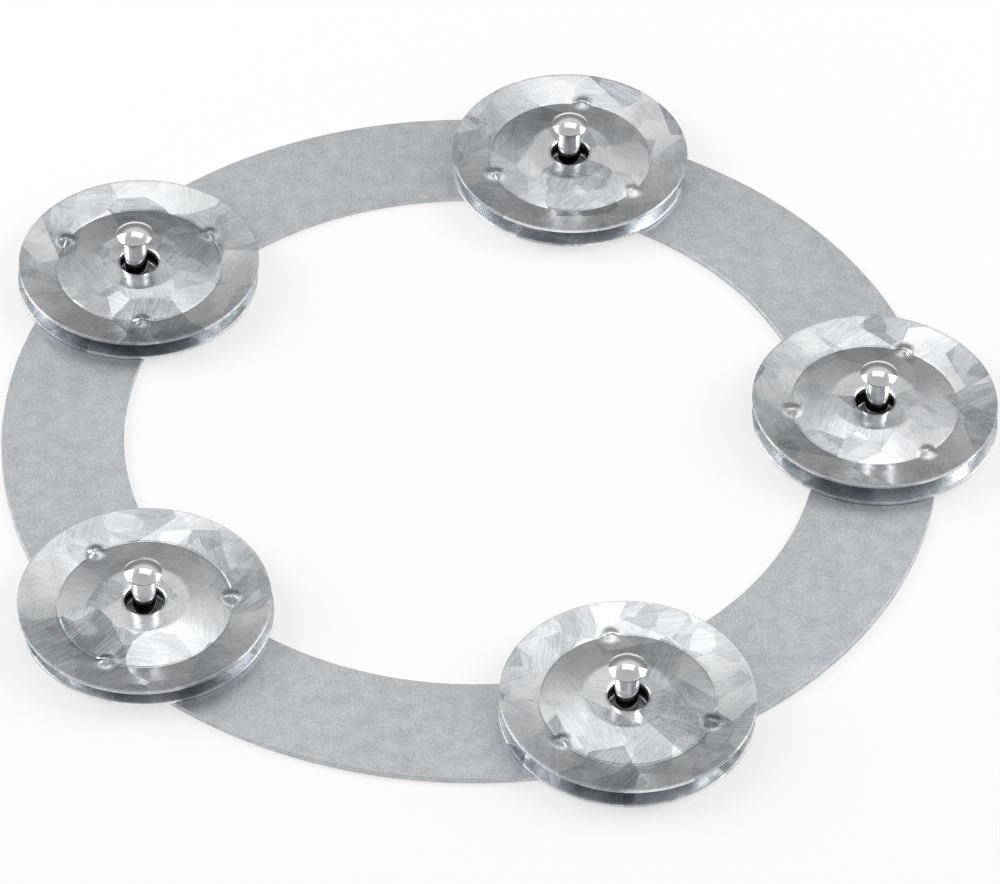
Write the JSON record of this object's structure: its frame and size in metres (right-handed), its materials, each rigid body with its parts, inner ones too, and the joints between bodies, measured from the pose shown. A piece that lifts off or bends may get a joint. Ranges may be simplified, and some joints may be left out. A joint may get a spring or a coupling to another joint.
{
  "type": "ching ring",
  "caption": "Flat steel ring with riveted pairs of loose galvanised jingles, laid over a cymbal's bell to add shimmer.",
  "frame": {"origin": "on the ring's axis, in the plane of the plate's upper face, where the rivets' shoulders and the lower jingles sit; the centre of mass lies under 1 mm above it", "axes": "+Z along the ring's axis, from the plate towards the rivet heads; +X through the first rivet"},
  "size_m": [0.1623, 0.166, 0.0119],
  "materials": {
    "plate_steel": "matt grey tumbled steel with a fine grain and a bright sheared edge",
    "galvanised_sheet": "hot-dip galvanised sheet with a visible crystal pattern, pressed and half polished",
    "polished_rivet": "polished nickel plating"
  },
  "bodies": {
    "ring": {"ring_plate": "plate_steel", "rivet_1": "polished_rivet", "rivet_2": "polished_rivet", "rivet_3": "polished_rivet", "rivet_4": "polished_rivet", "rivet_5": "polished_rivet"},
    "lower_jingle_1": {"lower_jingle_1": "galvanised_sheet"},
    "upper_jingle_1": {"upper_jingle_1": "galvanised_sheet"},
    "lower_jingle_2": {"lower_jingle_2": "galvanised_sheet"},
    "upper_jingle_2": {"upper_jingle_2": "galvanised_sheet"},
    "lower_jingle_3": {"lower_jingle_3": "galvanised_sheet"},
    "upper_jingle_3": {"upper_jingle_3": "galvanised_sheet"},
    "lower_jingle_4": {"lower_jingle_4": "galvanised_sheet"},
    "upper_jingle_4": {"upper_jingle_4": "galvanised_sheet"},
    "lower_jingle_5": {"lower_jingle_5": "galvanised_sheet"},
    "upper_jingle_5": {"upper_jingle_5": "galvanised_sheet"}
  },
  "joints": [
    {"name": "lower_slide_1", "type": "slide", "parent": "ring", "child": "lower_jingle_1", "axis": [0, 0, 1], "range_m": [0, 0.0027]},
    {"name": "upper_slide_1", "type": "slide", "parent": "lower_jingle_1", "child": "upper_jingle_1", "axis": [0, 0, 1], "range_m": [0, 0.0027]},
    {"name": "lower_slide_2", "type": "slide", "parent": "ring", "child": "lower_jingle_2", "axis": [0, 0, 1], "range_m": [0, 0.0027]},
    {"name": "upper_slide_2", "type": "slide", "parent": "lower_jingle_2", "child": "upper_jingle_2", "axis": [0, 0, 1], "range_m": [0, 0.0027]},
    {"name": "lower_slide_3", "type": "slide", "parent": "ring", "child": "lower_jingle_3", "axis": [0, 0, 1], "range_m": [0, 0.0027]},
    {"name": "upper_slide_3", "type": "slide", "parent": "lower_jingle_3", "child": "upper_jingle_3", "axis": [0, 0, 1], "range_m": [0, 0.0027]},
    {"name": "lower_slide_4", "type": "slide", "parent": "ring", "child": "lower_jingle_4", "axis": [0, 0, 1], "range_m": [0, 0.0027]},
    {"name": "upper_slide_4", "type": "slide", "parent": "lower_jingle_4", "child": "upper_jingle_4", "axis": [0, 0, 1], "range_m": [0, 0.0027]},
    {"name": "lower_slide_5", "type": "slide", "parent": "ring", "child": "lower_jingle_5", "axis": [0, 0, 1], "range_m": [0, 0.0027]},
    {"name": "upper_slide_5", "type": "slide", "parent": "lower_jingle_5", "child": "upper_jingle_5", "axis": [0, 0, 1], "range_m": [0, 0.0027]}
  ]
}
